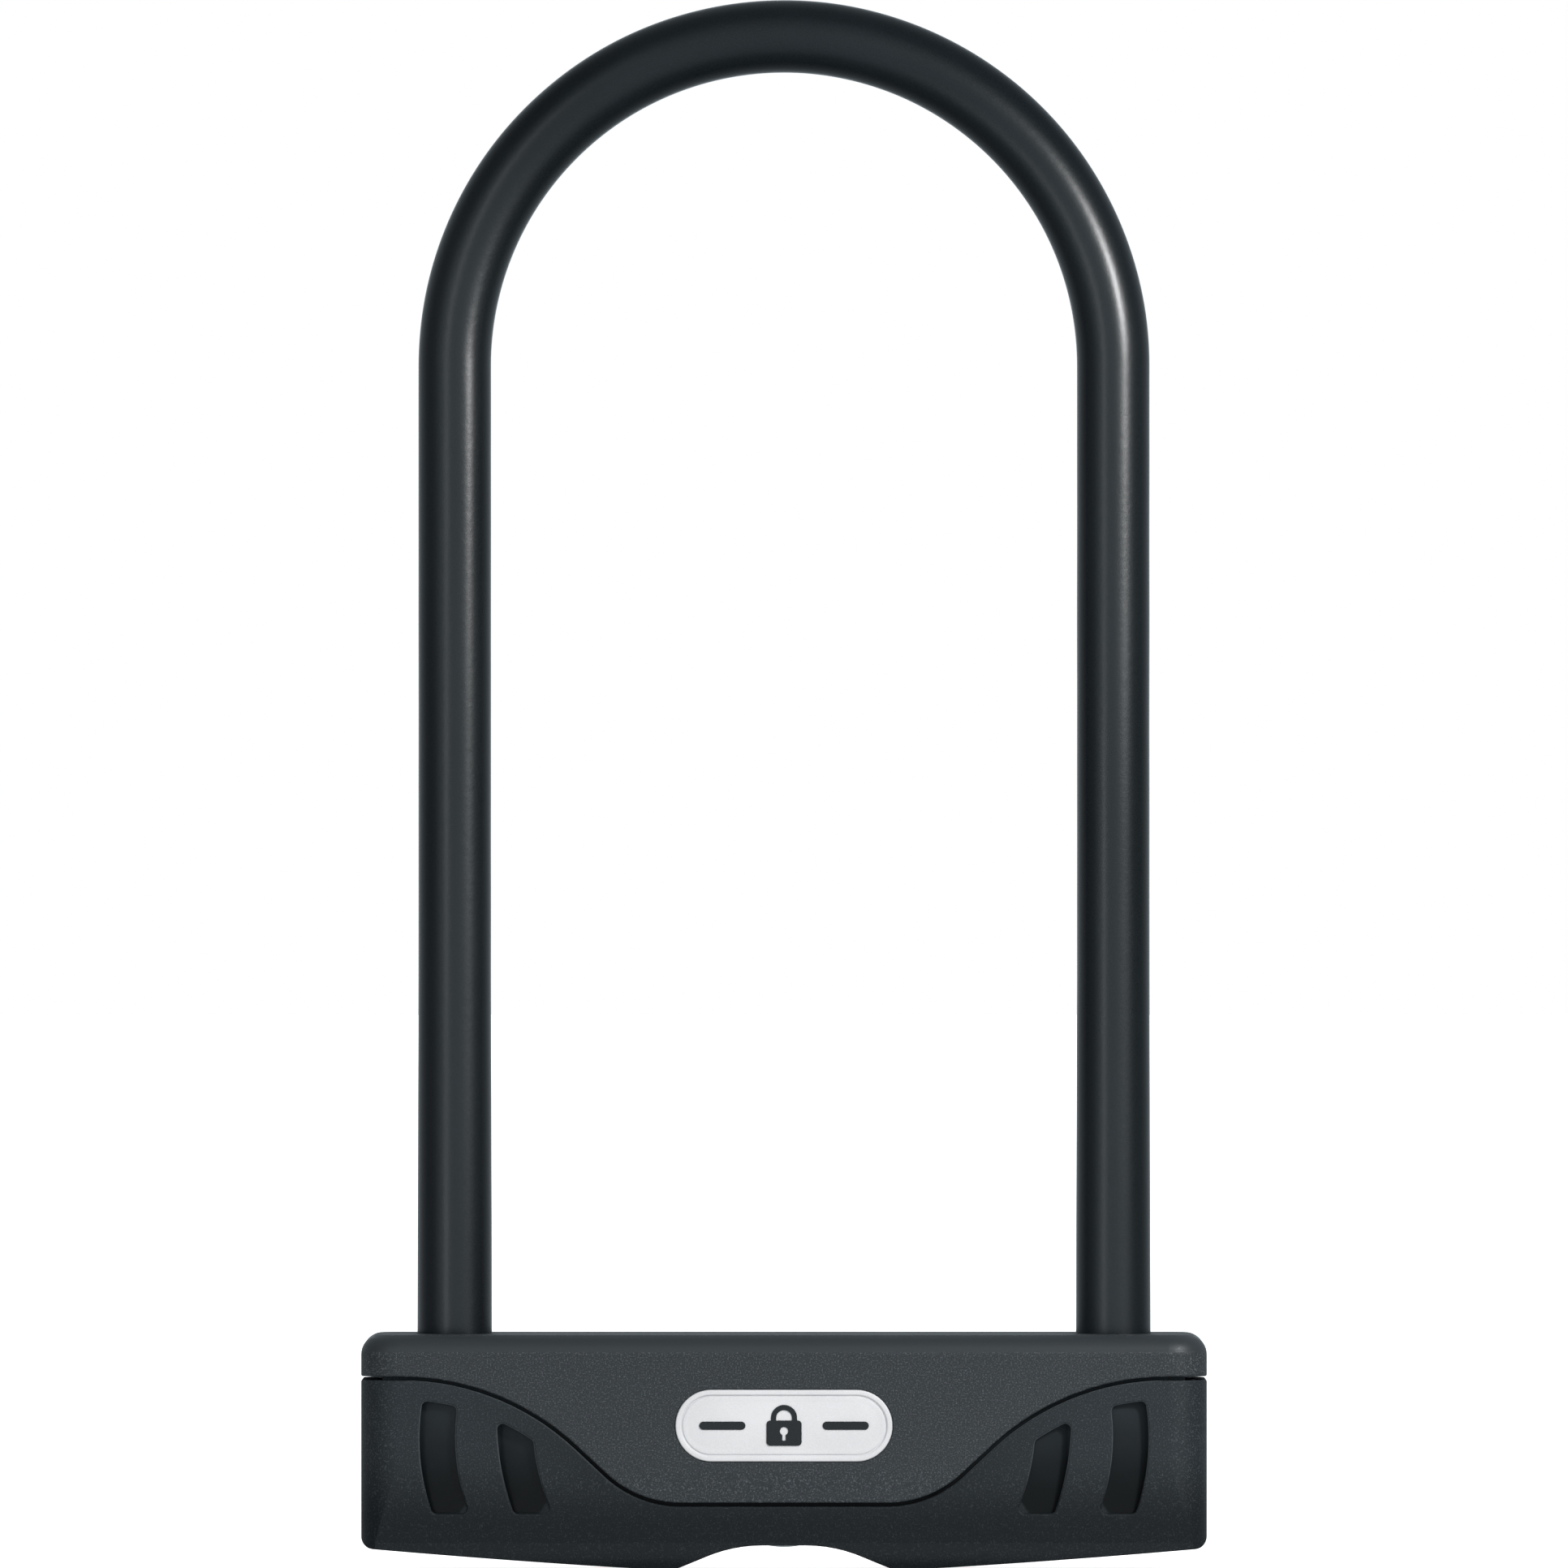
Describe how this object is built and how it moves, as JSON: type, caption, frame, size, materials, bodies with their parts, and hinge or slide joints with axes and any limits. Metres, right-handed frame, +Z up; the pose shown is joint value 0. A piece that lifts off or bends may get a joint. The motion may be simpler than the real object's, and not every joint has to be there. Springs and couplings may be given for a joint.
{
  "type": "u lock",
  "caption": "U lock for a bicycle: a vinyl-coated steel shackle that plugs into a moulded crossbar with a keyed lock cylinder and sliding bolts.",
  "frame": {"origin": "middle of the base, on the plane of the two ridges that the lock stands on", "axes": "+Z up from the crossbar to the arch of the shackle, X along the crossbar, -Y out of the face with the badge"},
  "size_m": [0.1538, 0.036, 0.2858],
  "materials": {
    "casing_upper": "fine moulded texture",
    "casing_lower": "fine moulded texture",
    "badge": "satin",
    "emblem": "satin",
    "vinyl": "satin vinyl",
    "hardened_steel": "ground",
    "plated_steel": "zinc plated",
    "cylinder_brass": "machined",
    "wafer_brass": "stamped",
    "nylon": "glass-filled nylon",
    "soft_rubber": "matt",
    "cap_plastic": "satin"
  },
  "bodies": {
    "lock_body": {"upper_casing": "casing_upper", "lower_casing": "casing_lower", "badge_plate": "badge", "badge_emblem": "emblem", "housing_tube": "hardened_steel", "left_end_plug": "hardened_steel", "right_end_plug": "hardened_steel", "left_carrier": "nylon", "right_carrier": "nylon", "left_leg_buffer": "soft_rubber", "right_leg_buffer": "soft_rubber", "left_entry_seal": "soft_rubber", "right_entry_seal": "soft_rubber", "cylinder_barrel": "cylinder_brass", "barrel_pins": "plated_steel", "drill_guard_pins": "hardened_steel"},
    "shackle": {"shackle_bar": "hardened_steel", "shackle_coating": "vinyl"},
    "plug": {"cylinder_plug": "cylinder_brass", "keyway_cap": "cap_plastic", "plug_clip": "plated_steel", "cam_disc": "plated_steel", "crank_pins": "hardened_steel", "wafer_springs": "plated_steel", "shutter_pin": "plated_steel", "shutter_spring": "plated_steel", "wafer_1": "wafer_brass", "wafer_2": "wafer_brass", "wafer_3": "wafer_brass", "wafer_4": "wafer_brass", "wafer_5": "wafer_brass", "wafer_6": "wafer_brass"},
    "shutter": {"shutter": "plated_steel"},
    "left_bolt": {"left_bolt": "hardened_steel"},
    "right_bolt": {"right_bolt": "hardened_steel"}
  },
  "joints": [
    {"name": "shackle_slide", "type": "slide", "parent": "lock_body", "child": "shackle", "axis": [0, 0, 1], "range_m": [0, 0.05]},
    {"name": "key_turn", "type": "hinge", "parent": "lock_body", "child": "plug", "pos_m": [0, 0, 0.015], "axis": [0, 0, 1], "range_deg": [0, 90]},
    {"name": "left_bolt_slide", "type": "slide", "parent": "lock_body", "child": "left_bolt", "axis": [-1, 0, 0], "range_m": [0, 0.00495]},
    {"name": "right_bolt_slide", "type": "slide", "parent": "lock_body", "child": "right_bolt", "axis": [1, 0, 0], "range_m": [0, 0.00495]},
    {"name": "shutter_flap", "type": "hinge", "parent": "plug", "child": "shutter", "pos_m": [0, 0.0022, 0.0061], "axis": [-1, 0, 0], "range_deg": [0, 88], "stiffness_Nm_per_rad": 0.0005, "springref_deg": -28.65}
  ],
  "couplings": [
    {"joint": "key_turn", "follows": "left_bolt_slide", "rad_per_m": 317.33},
    {"joint": "right_bolt_slide", "follows": "left_bolt_slide", "ratio": 1}
  ]
}
